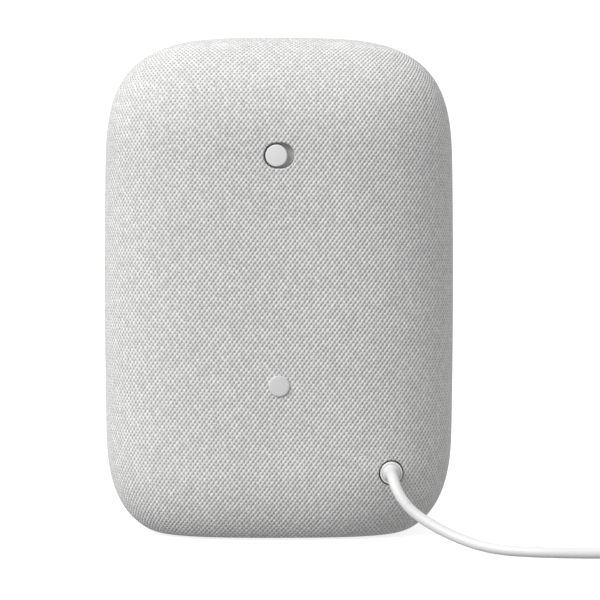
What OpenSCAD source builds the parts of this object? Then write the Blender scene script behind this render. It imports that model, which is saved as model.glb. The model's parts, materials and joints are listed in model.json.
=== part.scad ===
/* [Body] */
// Width of the fabric-covered body, across the back
body_w = 124; // [118:1:130]
// Depth of the body, front to back
body_d = 78; // [74:1:84]
// Height of the body
body_h = 175; // [168:1:182]
// Roundness of the horizontal section, from an oval at 2 to a box at 5
section_power = 2.9; // [2.4:0.1:3.6]
// How far each side curves in from mid height to the top and bottom
side_bulge = 1.4; // [0:0.1:2.5]
// Thickness of the knitted cover
fabric_t = 0.9; // [0.6:0.1:1]
// Thickness of the housing walls
wall_t = 2.2; // [1.8:0.1:2.6]

/* [Mute switch] */
// Height of the mute switch above the floor
switch_z = 131.5; // [126:0.5:134]
// Diameter of the sliding knob
knob_d = 7.5; // [7:0.1:8]
// Travel of the knob
knob_travel = 1.8; // [1.4:0.1:2]
// Gap around the knob in its well
knob_gap = 0.6; // [0.4:0.1:0.8]

/* [Drivers] */
// Height of the woofer's centre
woofer_z = 62; // [60:0.5:63]
// Height of the tweeter's centre
tweeter_z = 124; // [122:0.5:125]
// Travel of the woofer cone to each side of rest
woofer_travel = 2.5; // [1:0.1:2.8]
// Travel of the tweeter dome to each side of rest
tweeter_travel = 0.3; // [0.1:0.05:0.4]

/* [Power lead] */
// Distance of the power inlet from the middle of the back
inlet_x = 38.3; // [36:0.1:40]
// Height of the power inlet
inlet_z = 23.4; // [22:0.1:25]
// Diameter of the plug's head
plug_head_d = 7.8; // [7.4:0.1:8.2]
// Diameter of the cord
cord_d = 3.5; // [3.2:0.1:3.6]

/* [Hidden] */
$fn = 48;
e = 0.01;

// Superellipse corners of the body's outline, seen from the back (across) and from the side (through)
top_across = 55.4;
top_drop = 49.3;
top_power = 3.35;
low_across = 28.4;
low_rise = 38.5;
low_power = 2.64;
low_cut = 0.966;
top_through = 35;
top_drop_y = 42;
top_power_y = 2.3;
low_through = 12;
low_rise_y = 26;
low_power_y = 2.2;

// Heights above the floor, from the foot up
foot_gap = 0.8;
hem_z = 0.6;
hem_reach = 7;
base_z = 1.6;
base_t = 2.6;

// Shell layers, as insets from the fabric's outer face
housing_out = fabric_t + 0.05;
housing_in = housing_out + wall_t;
gasket_out = housing_out + 0.6;
gasket_in = housing_in - 0.6;
seam = 0.3;

// Sampling of the shells
half_segments = 28;
low_rings = 6;
top_rings = 9;

// Back-to-front stations, where the front is -Y
back_y = body_d / 2;
baffle_y = -25;
baffle_t = 3;
board_y = 4;
board_t = 1.6;
heat_y = board_y + board_t + 3.2;
heat_z = 118;

// Mute switch
well_r = knob_d / 2 + knob_gap;
well_half = knob_travel / 2;
well_floor_y = back_y - 2.8;
bezel_back_y = back_y - 4.6;
bezel_rim = 1.5;
bezel_gap = 0.25;
stem_end_y = bezel_back_y - 1.4;
lever_t = 1;
stem_r = 1.5;
switch_board_y = 27;
switch_board_t = 1.2;

// Woofer and tweeter radii, and depths measured forward from the baffle's face
woofer_r = 38;
cone_r = 27;
coil_r = 9;
woofer_hole_r = 34;
tweeter_r = 17;
dome_r = 8.6;
woofer_screw_r = 35.6;
tweeter_screw_r = 14.6;

// Power inlet and plug
plug_face_y = 36;
head_back_y = 30.4;
barrel_tip_y = 20.6;
barrel_r = 2.75;
barrel_bore_r = 1.25;
inlet_bore_r = 2.82;
inlet_pin_r = 0.95;
inlet_half = 5;
inlet_back_y = 17;
inlet_front_y = 28.2;
housing_hole_r = plug_head_d / 2 + 0.4;

// Cord: hand-chosen points from the plug's face, down to the floor and along it to the coil
cord_r = cord_d / 2;
floor_z = cord_r;
lead_route = [
    [-38.3, 36, 23.4],
    [-38.3, 40.4, 23.2],
    [-38.5, 44.2, 22.2],
    [-39.2, 47.2, 19.8],
    [-40.8, 49.2, 16.8],
    [-43, 50.8, 13.9],
    [-46.2, 52.5, 11.1],
    [-50.2, 54.7, 8.6],
    [-55, 57.6, 6.2],
    [-60.5, 61, 4.1],
    [-66, 64.4, 2.7],
    [-72, 67.8, 1.95],
    [-79, 71, floor_z],
    [-87, 73.4, floor_z],
    [-96, 74.8, floor_z],
    [-106, 75.4, floor_z],
    [-117, 75.6, floor_z],
    [-128, 75.6, floor_z]
];
relief_points = 5;
relief_r = 2.7;
coil_x = -138;
coil_y = 49.3;
coil_ring_r = 20.8;
coil_half_w = 7.3;
coil_h = 10.7;
tail_route = [
    [-152.4, 43.4, 12.5],
    [-149.5, 37.8, 12.6],
    [-148, 33, 12.9],
    [-147.3, 28, 13.2],
    [-147, 23, 13.4],
    [-147, 18, 13.5]
];
adapter_low = [-170, -22, 0];
adapter_size = [46, 40, 27];
adapter_corner = 6;
blade_gap = 12.7;
blade_size = [1.5, 17, 6.3];

// ---- Shape of the body ----

// How much of a superellipse corner is used up at t, from 0 at its start to 1 at its end
function corner(t, power) = 1 - pow(1 - pow(min(1, max(0, t)), power), 1 / power);

function half_width(z, inset) =
    body_w / 2 - inset
    - side_bulge * pow((z - body_h / 2) / (body_h / 2), 2)
    - (top_across - inset) * corner((z - (body_h - top_drop)) / (top_drop - inset), top_power)
    - low_across * corner((low_rise * low_cut - z) / low_rise, low_power);

function half_depth(z, inset) =
    body_d / 2 - inset
    - (top_through - inset) * corner((z - (body_h - top_drop_y)) / (top_drop_y - inset), top_power_y)
    - low_through * corner((low_rise_y * low_cut - z) / low_rise_y, low_power_y);

// Signed power, for the superellipse section
function spow(v, p) = sign(v) * pow(abs(v), p);

function section_point(angle, z, inset) = [
    half_width(z, inset) * spow(cos(angle), 2 / section_power),
    half_depth(z, inset) * spow(sin(angle), 2 / section_power),
    z
];

// Heights of the rings from z0 to the top, closer together where the outline curves
function ring_heights(z0, inset) = concat(
    [for (i = [0:low_rings - 1]) z0 + (low_rise * low_cut - z0) * pow(i / low_rings, 1.4)],
    [low_rise * low_cut, body_h * 0.45],
    [for (i = [0:top_rings]) body_h - top_drop + (top_drop - inset) * sin(90 * i / top_rings)]
);

function full_ring(z, inset) = [
    for (i = [0:2 * half_segments - 1]) section_point(180 * i / half_segments, z, inset)
];

// Half of a section, on the side that the sign names, cut off at the seam between the housings
function half_ring(z, inset, side) = [
    for (i = [0:half_segments])
        let (p = section_point(180 * i / half_segments, z, inset))
        [p[0], side * max(seam, p[1]), z]
];

function flat(lists) = [for (l = lists) for (p = l) p];

// Joins two stacks of rings, outer and inner, into one closed wall. Closed rings run all the way
// round; open ones are closed along the seam by strips.
module wall(outer, inner, closed, flip = false) {
    n = len(outer[0]);
    k = len(outer);
    m = len(inner);
    last = closed ? n - 1 : n - 2;
    points = concat(flat(outer), flat(inner));
    function o(j, i) = j * n + i % n;
    function q(j, i) = (k + j) * n + i % n;
    faces = concat(
        [for (j = [0:k - 2]) for (i = [0:last]) [o(j, i), o(j + 1, i), o(j + 1, i + 1), o(j, i + 1)]],
        [for (j = [0:m - 2]) for (i = [0:last]) [q(j, i), q(j, i + 1), q(j + 1, i + 1), q(j + 1, i)]],
        [for (i = [0:last]) [o(0, i), o(0, i + 1), q(0, i + 1), q(0, i)]],
        [[for (i = [n - 1:-1:0]) o(k - 1, i)]],
        [[for (i = [0:n - 1]) q(m - 1, i)]],
        closed ? [] : [for (j = [0:k - 2]) [o(j, 0), q(j, 0), q(j + 1, 0), o(j + 1, 0)]],
        closed ? [] : [for (j = [0:k - 2]) [o(j, n - 1), o(j + 1, n - 1), q(j + 1, n - 1), q(j, n - 1)]],
        closed ? [] : [[o(k - 1, 0), q(k - 1, 0), q(k - 1, n - 1), o(k - 1, n - 1)]]
    );
    polyhedron(points, flip ? [for (f = faces) [for (i = [len(f) - 1:-1:0]) f[i]]] : faces);
}

module half_shell(side, out_inset, in_inset, z0) {
    wall(
        [for (z = ring_heights(z0, out_inset)) half_ring(z, out_inset, side)],
        [for (z = ring_heights(z0, in_inset)) half_ring(z, in_inset, side)],
        false,
        side < 0
    );
}

// Outline of the body's section at a height, as a flat shape
module section_2d(z, inset) {
    polygon([for (p = full_ring(z, inset)) [p[0], p[1]]]);
}

// ---- Helpers ----

// Puts a shape drawn along +Z so that +Z points out of the front, at the baffle's face
module to_front(z, y = baffle_y) {
    translate([0, y, z])
        rotate([90, 0, 0])
            children();
}

// Puts a shape drawn along +Z so that +Z points out of the back
module to_back(x, y, z) {
    translate([x, y, z])
        rotate([-90, 0, 0])
            children();
}

module block(low, high) {
    translate(low)
        cube(high - low);
}

module tube_z(r_out, r_in, z0, z1) {
    translate([0, 0, z0])
        difference() {
            cylinder(r = r_out, h = z1 - z0);
            translate([0, 0, -1])
                cylinder(r = r_in, h = z1 - z0 + 2);
        }
}

// Slot with round ends along X
module stadium(r, half) {
    square([2 * half, 2 * r], center = true);
    for (s = [-1, 1])
        translate([s * half, 0])
            circle(r);
}

// Height of a screw's head, from its radius
function head_height(head_r) = head_r * 0.7;

// Cross-head screw along +Z, with its head's top at z = 0
module screw(shank_r, head_r, length) {
    head_h = head_height(head_r);
    difference() {
        union() {
            translate([0, 0, -head_h])
                cylinder(r = head_r, h = head_h, $fn = 24);
            translate([0, 0, -length])
                cylinder(r = shank_r, h = length - head_h + e, $fn = 16);
        }
        for (a = [0, 90])
            rotate(a)
                translate([-head_r * 0.6, -head_r * 0.12, -head_h * 0.6])
                    cube([head_r * 1.2, head_r * 0.24, head_h]);
    }
}

function unit(v) = v / norm(v);
function tangent(path, i) = unit(path[min(i + 1, len(path) - 1)] - path[max(i - 1, 0)]);

// Catmull-Rom point at t of the way from path point i to the next
function spline(path, i, t) =
    let (
        a = i == 0 ? 2 * path[0] - path[1] : path[i - 1],
        b = path[i],
        c = path[i + 1],
        d = i + 2 < len(path) ? path[i + 2] : 2 * path[i + 1] - path[i]
    )
    0.5 * (2 * b + (c - a) * t + (2 * a - 5 * b + 4 * c - d) * t * t + (3 * b - a - 3 * c + d) * t * t * t);

function smooth(path, steps) = concat(
    [for (i = [0:len(path) - 2]) for (s = [0:steps - 1]) spline(path, i, s / steps)],
    [path[len(path) - 1]]
);

// Round tube along a path, with a radius at its start and another at its end
module sweep(path, r0, r1, sides = 8) {
    n = len(path);
    rings = [
        for (i = [0:n - 1])
            let (
                t = tangent(path, i),
                u = unit(cross(t, abs(t[0]) < 0.9 ? [1, 0, 0] : [0, 1, 0])),
                v = cross(t, u),
                r = r0 + (r1 - r0) * i / (n - 1)
            )
            [for (s = [0:sides - 1]) path[i] + r * (cos(360 * s / sides) * u + sin(360 * s / sides) * v)]
    ];
    polyhedron(
        flat(rings),
        concat(
            [[for (s = [0:sides - 1]) s]],
            [[for (s = [sides - 1:-1:0]) (n - 1) * sides + s]],
            [
                for (i = [0:n - 2]) for (s = [0:sides - 1])
                    let (near = i * sides, far = near + sides, next = (s + 1) % sides)
                    [near + s, far + s, far + next, near + next]
            ]
        )
    );
}

// Inner face of the housing's front or back wall at x and z, as a distance from the middle
function wall_y(x, z) =
    half_depth(z, housing_in)
    * pow(1 - pow(abs(x) / half_width(z, housing_in), section_power), 1 / section_power);

// Screws: radius of the head, of the shank and its hole in plastic, and of the clearance holes
screw_head_r = 2.2;
pilot_r = 1;
screw_length = 8;
clear_r = 1.35;
head_clear_r = 2.4;

// Places for the screws that hold the two housings together, as x and z
seam_bosses = [[-46, 46], [46, 46], [-46, 118], [46, 118]];
boss_r = 3;
boss_end = 29.4;
head_seat_y = 14;
pilot_depth = 11;
seam_screw_length = 22;

// Screws that hold the baffle to posts on the front wall, as x and z
baffle_screw_places = [[-40, 24], [40, 24], [-40, 100], [40, 100], [-38, 132], [38, 132]];

// Screws that hold the base plate to feet on the housings, as x and y
base_screw_places = [[-28, -12], [28, -12], [-28, 12], [28, 12]];
base_post_h = 9;
rib_t = 2;

// Sound openings: radius of a hole, and number of rings and their pitch in front of each driver
sound_hole_r = 1.7;
woofer_rings = 4;
woofer_pitch = 7;
tweeter_rings = 1;
tweeter_pitch = 6;

// Posts that carry the switch board
switch_post_x = 14.5;
switch_post_r = 2.6;

// ---- Covers and housings ----

module switch_opening(r, y0, y1) {
    to_back(0, y0, switch_z)
        linear_extrude(y1 - y0)
            stadium(r, well_half);
}

module fabric_cover() {
    hem = hem_reach + fabric_t;
    outer = concat(
        [full_ring(hem_z, hem)],
        [for (z = ring_heights(hem_z, 0)) full_ring(z, 0)]
    );
    inner = concat(
        [full_ring(hem_z + fabric_t, hem)],
        [for (z = ring_heights(hem_z + fabric_t, fabric_t)) full_ring(z, fabric_t)]
    );
    color("gainsboro")
        difference() {
            wall(outer, inner, true);
            switch_opening(well_r, back_y - 4, back_y + 1);
            to_back(-inlet_x, back_y - 8, inlet_z)
                cylinder(r = housing_hole_r, h = 10);
        }
}

// Sound openings in front of a driver, in rings of round holes
module sound_holes(z, rings, pitch) {
    to_front(z, -body_d / 2 + 12)
        for (k = [0:rings])
            for (i = [0:max(1, 6 * k) - 1])
                rotate(k == 0 ? 0 : 60 * i / k)
                    translate([k * pitch, 0, 0])
                        cylinder(r = sound_hole_r, h = 14, $fn = 16);
}

// Round column from y0 to y1 at x and z
module post(x, z, r, y0, y1) {
    to_back(x, min(y0, y1), z)
        cylinder(r = r, h = abs(y1 - y0));
}

// Foot for a base plate screw, and the rib that joins it to the wall on the side that its y names
module base_foot(place) {
    side = sign(place[1]);
    low = base_z + base_t;
    reach = wall_y(place[0], low) - abs(place[1]);
    translate([place[0], place[1], low])
        cylinder(r = boss_r, h = base_post_h);
    translate([place[0] - rib_t / 2, side > 0 ? place[1] : place[1] - reach, low])
        cube([rib_t, reach, base_post_h]);
}

module base_feet(side) {
    for (p = base_screw_places)
        if (sign(p[1]) == side)
            base_foot(p);
}

module base_pilots() {
    for (p = base_screw_places)
        translate([p[0], p[1], base_z])
            cylinder(r = pilot_r, h = base_t + base_post_h - 1);
}

module front_housing() {
    color("whitesmoke")
        difference() {
            union() {
                half_shell(-1, housing_out, housing_in, base_z);
                for (b = seam_bosses)
                    post(b[0], b[1], boss_r, -boss_end, -seam);
                for (b = baffle_screw_places)
                    post(b[0], b[1], boss_r, -wall_y(b[0], b[1]) - wall_t / 4, baffle_y);
                base_feet(-1);
            }
            for (b = seam_bosses)
                post(b[0], b[1], pilot_r, -pilot_depth, 1);
            for (b = baffle_screw_places)
                post(b[0], b[1], pilot_r, baffle_y - 5, baffle_y + 1);
            base_pilots();
            sound_holes(woofer_z, woofer_rings, woofer_pitch);
            sound_holes(tweeter_z, tweeter_rings, tweeter_pitch);
        }
}

module rear_housing() {
    color("whitesmoke")
        difference() {
            union() {
                half_shell(1, housing_out, housing_in, base_z);
                for (b = seam_bosses)
                    post(b[0], b[1], boss_r, seam, boss_end);
                for (s = [-1, 1])
                    post(
                        s * switch_post_x, switch_z, switch_post_r,
                        switch_board_y + switch_board_t, wall_y(switch_post_x, switch_z) + wall_t / 4
                    );
                base_feet(1);
            }
            for (b = seam_bosses) {
                post(b[0], b[1], clear_r, -1, body_d / 2);
                post(b[0], b[1], head_clear_r, head_seat_y, body_d / 2);
            }
            base_pilots();
            switch_opening(well_r + bezel_rim, bezel_back_y - 4, back_y + 1);
            to_back(-inlet_x, 24, inlet_z)
                cylinder(r = housing_hole_r, h = 16);
        }
}

module housing_gasket() {
    heights_out = ring_heights(base_z, gasket_out);
    heights_in = ring_heights(base_z, gasket_in);
    outline = concat(
        [for (z = heights_out) [half_width(z, gasket_out), z]],
        [for (i = [len(heights_out) - 1:-1:0]) [-half_width(heights_out[i], gasket_out), heights_out[i]]]
    );
    opening = concat(
        [[half_width(base_z, gasket_in), base_z - 1]],
        [for (z = heights_in) [half_width(z, gasket_in), z]],
        [for (i = [len(heights_in) - 1:-1:0]) [-half_width(heights_in[i], gasket_in), heights_in[i]]],
        [[-half_width(base_z, gasket_in), base_z - 1]]
    );
    color("dimgray")
        translate([0, seam, 0])
            rotate([90, 0, 0])
                linear_extrude(2 * seam)
                    difference() {
                        polygon(outline);
                        polygon(opening);
                    }
}

module housing_screws() {
    color("silver")
        for (b = seam_bosses)
            to_back(b[0], head_seat_y + head_height(screw_head_r), b[1])
                screw(pilot_r, screw_head_r, seam_screw_length);
}

// ---- Base ----

head_pocket = 1.6;

module base_plate() {
    color("whitesmoke")
        difference() {
            translate([0, 0, base_z])
                linear_extrude(base_t)
                    section_2d(base_z, housing_in + 0.2);
            for (p = base_screw_places) {
                translate([p[0], p[1], base_z - 1])
                    cylinder(r = clear_r, h = base_t + 2);
                translate([p[0], p[1], base_z - 1])
                    cylinder(r = head_clear_r, h = head_pocket + 1);
            }
        }
}

module base_screws() {
    color("silver")
        for (p = base_screw_places)
            translate([p[0], p[1], base_z + head_pocket - head_height(screw_head_r)])
                rotate([180, 0, 0])
                    screw(pilot_r, screw_head_r, screw_length);
}

module foot_pad() {
    color("lightgray")
        linear_extrude(base_z)
            section_2d(hem_z, hem_reach + fabric_t + foot_gap);
}

module emblem_badge() {
    badge_r = 3.6;
    badge_t = 0.7;
    badge_z = 53.4;
    edge = badge_t / 2;
    profile = concat(
        [[0, 0], [badge_r, 0]],
        [for (a = [0:18:90]) [badge_r - edge + edge * cos(a), edge + edge * sin(a)]],
        [[0, badge_t]]
    );
    color("whitesmoke")
        to_back(0, back_y, badge_z)
            rotate_extrude($fn = 64)
                polygon(profile);
}

// ---- Mute switch ----

module switch_bezel() {
    stem_slot = stem_r + 0.35;
    color("darkgray")
        difference() {
            switch_opening(well_r + bezel_rim, bezel_back_y, back_y - fabric_t - bezel_gap);
            switch_opening(well_r, well_floor_y, back_y);
            switch_opening(stem_slot, bezel_back_y - 1, back_y);
        }
}

module mute_knob() {
    knob_r = knob_d / 2;
    knob_back_y = well_floor_y + 0.3;
    knob_top = back_y - knob_back_y;
    edge = 0.4;
    low_edge = 0.2;
    crown = 0.15;
    profile = concat(
        [[0, 0], [knob_r - low_edge, 0], [knob_r, low_edge]],
        [for (a = [0:15:90]) [knob_r - edge + edge * cos(a), knob_top - edge - crown + edge * sin(a)]],
        [[0, knob_top]]
    );
    color("whitesmoke")
        to_back(well_half, knob_back_y, switch_z) {
            rotate_extrude($fn = 64)
                polygon(profile);
            translate([0, 0, stem_end_y - knob_back_y])
                cylinder(r = stem_r, h = knob_back_y - stem_end_y + e);
        }
}

module switch_lever() {
    lever_half = 2.4;
    color("dimgray")
        block(
            [well_half - lever_half, stem_end_y - lever_t, switch_z - lever_half],
            [well_half + lever_half, stem_end_y, switch_z + lever_half]
        );
}

module slide_switch_body() {
    half_w = 6.5;
    half_h = 4;
    low = switch_board_y + switch_board_t;
    high = stem_end_y - lever_t - seam;
    color("silver")
        block([-half_w, low, switch_z - half_h], [half_w, high, switch_z + half_h]);
}

module switch_board() {
    half_w = 18;
    half_h = 8;
    hole_r = 1.2;
    color("seagreen")
        difference() {
            block(
                [-half_w, switch_board_y, switch_z - half_h],
                [half_w, switch_board_y + switch_board_t, switch_z + half_h]
            );
            for (s = [-1, 1])
                to_back(s * switch_post_x, switch_board_y - 1, switch_z)
                    cylinder(r = hole_r, h = switch_board_t + 2);
        }
}

// ---- Baffle ----

tweeter_hole_r = 12.4;
woofer_screw_angles = [45, 135, 225, 315];
tweeter_screw_angles = [30, 150, 270];
woofer_screw_shank_r = 1;
tweeter_screw_shank_r = 0.8;

// Copies its child to each screw of a driver at height z
module driver_screws(z, angles, r, y = baffle_y) {
    to_front(z, y)
        for (a = angles)
            rotate(a)
                translate([r, 0, 0])
                    children();
}

module baffle() {
    plate_low = 16;
    plate_high = 148;
    plate_half = 45;
    plate_corner = 16;
    color("gray")
        difference() {
            to_front(0, baffle_y + baffle_t)
                linear_extrude(baffle_t)
                    difference() {
                        union() {
                            translate([-plate_half, plate_low + plate_corner])
                                square([2 * plate_half, plate_high - plate_low - 2 * plate_corner]);
                            translate([-plate_half + plate_corner, plate_low])
                                square([2 * (plate_half - plate_corner), plate_high - plate_low]);
                            for (x = [-1, 1])
                                for (z = [plate_low + plate_corner, plate_high - plate_corner])
                                    translate([x * (plate_half - plate_corner), z])
                                        circle(plate_corner);
                        }
                        translate([0, woofer_z])
                            circle(woofer_hole_r);
                        translate([0, tweeter_z])
                            circle(tweeter_hole_r);
                        for (p = baffle_screw_places)
                            translate(p)
                                circle(clear_r);
                        for (p = seam_bosses)
                            translate(p)
                                circle(boss_r + seam);
                    }
            driver_screws(woofer_z, woofer_screw_angles, woofer_screw_r, baffle_y + 10)
                cylinder(r = woofer_screw_shank_r, h = 20);
            driver_screws(tweeter_z, tweeter_screw_angles, tweeter_screw_r, baffle_y + 10)
                cylinder(r = tweeter_screw_shank_r, h = 20);
        }
}

module baffle_screws() {
    color("silver")
        for (p = baffle_screw_places)
            to_back(p[0], baffle_y + baffle_t + head_height(screw_head_r), p[1])
                screw(pilot_r, screw_head_r, screw_length);
}

// ---- Woofer, drawn along +Z towards the front from the baffle's face ----

basket_floor = -19.5;
basket_rim_z = 2;
plate_t = 3;
magnet_t = 6;
surround_out_r = 31.2;
flange_t = 0.4;

module woofer_basket() {
    windows = 6;
    window_low = [20.5, -5, -15];
    window_size = [12, 10, 11];
    screw_hole_r = 1.4;
    profile = [
        [woofer_r, 0], [woofer_r, basket_rim_z], [31, basket_rim_z], [31, 0.4], [18.6, -17.8],
        [10, -17.8], [10, basket_floor], [19.6, basket_floor], [32.4, 0]
    ];
    color("dimgray")
        difference() {
            to_front(woofer_z)
                rotate_extrude($fn = 96)
                    polygon(profile);
            to_front(woofer_z)
                for (i = [0:windows - 1])
                    rotate(360 / windows * (i + 0.5))
                        translate(window_low)
                            cube(window_size);
            driver_screws(woofer_z, woofer_screw_angles, woofer_screw_r, baffle_y + 1)
                cylinder(r = screw_hole_r, h = 5);
        }
}

module woofer_gasket() {
    low = basket_rim_z + flange_t;
    gasket_t = 0.8;
    color("black")
        to_front(woofer_z)
            tube_z(surround_out_r + 2.4, surround_out_r + 0.8, low, low + gasket_t);
}

// Half-roll between two radii, as a bent strip of even thickness
function roll(r0, r1, z, t, a0, a1) = [
    for (a = [a0:(a1 - a0) / 12:a1 + 0.001 * sign(a1 - a0)])
        [(r0 + r1) / 2 + ((r1 - r0) / 2 + t) * cos(a), z + ((r1 - r0) / 2 + t) * sin(a)]
];

module woofer_surround() {
    roll_z = 2.2;
    skin = 0.5;
    flange_w = 2.2;
    glue_w = 2;
    color("black")
        to_front(woofer_z)
            rotate_extrude($fn = 96)
                union() {
                    polygon(concat(
                        roll(cone_r, surround_out_r, roll_z, 0, 180, 0),
                        roll(cone_r, surround_out_r, roll_z, skin, 0, 180)
                    ));
                    translate([surround_out_r, basket_rim_z])
                        square([flange_w, flange_t]);
                    translate([cone_r - glue_w, roll_z - 0.3])
                        square([glue_w, skin]);
                }
}

module woofer_cone() {
    rim = cone_r - 0.1;
    rim_z = 1.8;
    neck_z = -10.6;
    paper_t = 0.5;
    profile = [
        [coil_r + 0.3, neck_z], [coil_r + 0.3, neck_z + 0.8], [rim - 2.6, rim_z], [rim, rim_z],
        [rim, rim_z - paper_t], [rim - 2.2, rim_z - paper_t], [coil_r + 1.1, neck_z]
    ];
    color("dimgray")
        to_front(woofer_z)
            rotate_extrude($fn = 96)
                polygon(profile);
}

module woofer_dust_cap() {
    cap_r = 11;
    rise = 3.4;
    base = -8;
    skin = 0.5;
    steps = 8;
    outside = [for (i = [0:steps]) [cap_r * i / steps, base + rise * (1 - pow(i / steps, 2))]];
    color("black")
        to_front(woofer_z)
            rotate_extrude($fn = 64)
                polygon(concat(outside, [for (i = [steps:-1:0]) outside[i] - [0, skin]]));
}

module woofer_voice_coil() {
    back_clearance = 1;
    former_t = 0.45;
    top = -9.9;
    low = basket_floor - plate_t - magnet_t + woofer_travel + back_clearance;
    color("peru")
        to_front(woofer_z)
            tube_z(coil_r + 0.25, coil_r + 0.25 - former_t, low, top);
}

module woofer_spider() {
    inner_r = coil_r + 0.35;
    outer_r = 20.5;
    rest_z = -14.6;
    wave_h = 0.7;
    waves = 4;
    cloth_t = 0.4;
    steps = 36;
    wave = [
        for (i = [0:steps])
            [inner_r + (outer_r - inner_r) * i / steps, rest_z + wave_h * sin(360 * waves * i / steps)]
    ];
    color("goldenrod")
        to_front(woofer_z)
            rotate_extrude($fn = 64)
                polygon(concat(wave, [for (i = [steps:-1:0]) wave[i] + [0, cloth_t]]));
}

module woofer_top_plate() {
    plate_r = 21;
    color("silver")
        to_front(woofer_z)
            tube_z(plate_r, coil_r + 0.6, basket_floor - plate_t, basket_floor);
}

module woofer_magnet() {
    ring_r = 24;
    hole_r = 12;
    color("darkslategray")
        to_front(woofer_z)
            tube_z(ring_r, hole_r, basket_floor - plate_t - magnet_t, basket_floor - plate_t);
}

module woofer_yoke() {
    yoke_r = 22;
    pole_r = 8.4;
    low = basket_floor - plate_t - magnet_t;
    color("silver")
        to_front(woofer_z)
            rotate_extrude($fn = 64)
                polygon([
                    [0, low - plate_t], [yoke_r, low - plate_t], [yoke_r, low],
                    [pole_r, low], [pole_r, basket_floor], [0, basket_floor]
                ]);
}

module woofer_screws() {
    shank_r = 0.95;
    head_r = 1.9;
    length = 6.6;
    color("black")
        driver_screws(woofer_z, woofer_screw_angles, woofer_screw_r)
            translate([0, 0, basket_rim_z + head_height(head_r)])
                screw(shank_r, head_r, length);
}

// ---- Tweeter ----

frame_t = 1.6;
frame_bore_r = 11;
frame_neck_r = 12.2;
neck_low = -3.6;

module tweeter_frame() {
    screw_hole_r = 1.1;
    profile = [
        [tweeter_r, 0], [tweeter_r, frame_t], [14, frame_t], [frame_bore_r, frame_t / 2],
        [frame_bore_r, neck_low], [frame_neck_r, neck_low], [frame_neck_r, 0]
    ];
    color("dimgray")
        difference() {
            to_front(tweeter_z)
                rotate_extrude($fn = 64)
                    polygon(profile);
            driver_screws(tweeter_z, tweeter_screw_angles, tweeter_screw_r, baffle_y + 1)
                cylinder(r = screw_hole_r, h = 5);
        }
}

module tweeter_dome() {
    rise = 3;
    skin = 0.3;
    steps = 8;
    outside = [for (i = [0:steps]) [dome_r * i / steps, rise * (1 - pow(i / steps, 2))]];
    color("silver")
        to_front(tweeter_z)
            rotate_extrude($fn = 64)
                polygon(concat(outside, [for (i = [steps:-1:0]) outside[i] - [0, skin]]));
}

module tweeter_surround() {
    skin = 0.25;
    glue = 0.02;
    roll_z = -0.3;
    r0 = dome_r + skin + glue;
    r1 = frame_bore_r - skin - glue;
    color("black")
        to_front(tweeter_z)
            rotate_extrude($fn = 64)
                polygon(concat(roll(r0, r1, roll_z, 0, 180, 0), roll(r0, r1, roll_z, skin, 0, 180)));
}

module tweeter_voice_coil() {
    former_t = 0.4;
    top = -0.3;
    color("peru")
        to_front(tweeter_z)
            tube_z(dome_r - 0.1, dome_r - 0.1 - former_t, neck_low, top);
}

module tweeter_magnet() {
    low = -10;
    gap_floor = -8;
    pole_z = -1.7 - tweeter_travel;
    gap_out_r = dome_r + 0.3;
    pole_r = dome_r - 0.9;
    color("silver")
        to_front(tweeter_z)
            rotate_extrude($fn = 64)
                polygon([
                    [0, low], [frame_neck_r, low], [frame_neck_r, neck_low], [gap_out_r, neck_low],
                    [gap_out_r, gap_floor], [pole_r, gap_floor], [pole_r, pole_z], [0, pole_z]
                ]);
}

module tweeter_screws() {
    shank_r = 0.75;
    head_r = 1.5;
    length = 5;
    color("black")
        driver_screws(tweeter_z, tweeter_screw_angles, tweeter_screw_r)
            translate([0, 0, frame_t + head_height(head_r)])
                screw(shank_r, head_r, length);
}

// ---- Electronics ----

board_low_z = 92;
board_high_z = 144;
board_half = 36;
post_places = [[-32, 96], [32, 96], [-32, 140], [32, 140]];

module main_board() {
    hole_r = 1.4;
    color("seagreen")
        difference() {
            block([-board_half, board_y, board_low_z], [board_half, board_y + board_t, board_high_z]);
            for (p = post_places)
                to_back(p[0], board_y - 1, p[1])
                    cylinder(r = hole_r, h = board_t + 2);
        }
}

module board_standoffs() {
    standoff_r = 3;
    pilot_depth = 8;
    color("whitesmoke")
        for (p = post_places)
            difference() {
                to_back(p[0], baffle_y + baffle_t, p[1])
                    cylinder(r = standoff_r, h = board_y - baffle_y - baffle_t);
                to_back(p[0], board_y - pilot_depth, p[1])
                    cylinder(r = pilot_r, h = pilot_depth + 1);
            }
}

module board_screws() {
    shank_r = 0.95;
    length = 7;
    color("silver")
        for (p = post_places)
            to_back(p[0], board_y + board_t + head_height(screw_head_r), p[1])
                screw(shank_r, screw_head_r, length);
}

// A large can over the processor and a small one over the radio
module shield_cans() {
    low_y = board_y + board_t;
    can_h = 2.4;
    color("silver") {
        block([-14, low_y, 104], [14, low_y + can_h, 132]);
        block([17, low_y, 108], [28, low_y + can_h, 128]);
    }
}

module thermal_pad() {
    half_w = 12;
    pad_t = 0.8;
    color("lightpink")
        block([-half_w, heat_y - pad_t, heat_z - half_w], [half_w, heat_y, heat_z + half_w]);
}

module heat_sink() {
    half_w = 27;
    half_h = 18;
    plate_depth = 2;
    fins = 9;
    fin_t = 1.2;
    fin_h = 7;
    fin_pitch = 6.4;
    first = -26.6;
    color("silver") {
        block([-half_w, heat_y, heat_z - half_h], [half_w, heat_y + plate_depth, heat_z + half_h]);
        for (i = [0:fins - 1])
            translate([first + i * fin_pitch, heat_y + plate_depth - e, heat_z - half_h])
                cube([fin_t, fin_h, 2 * half_h]);
    }
}

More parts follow.
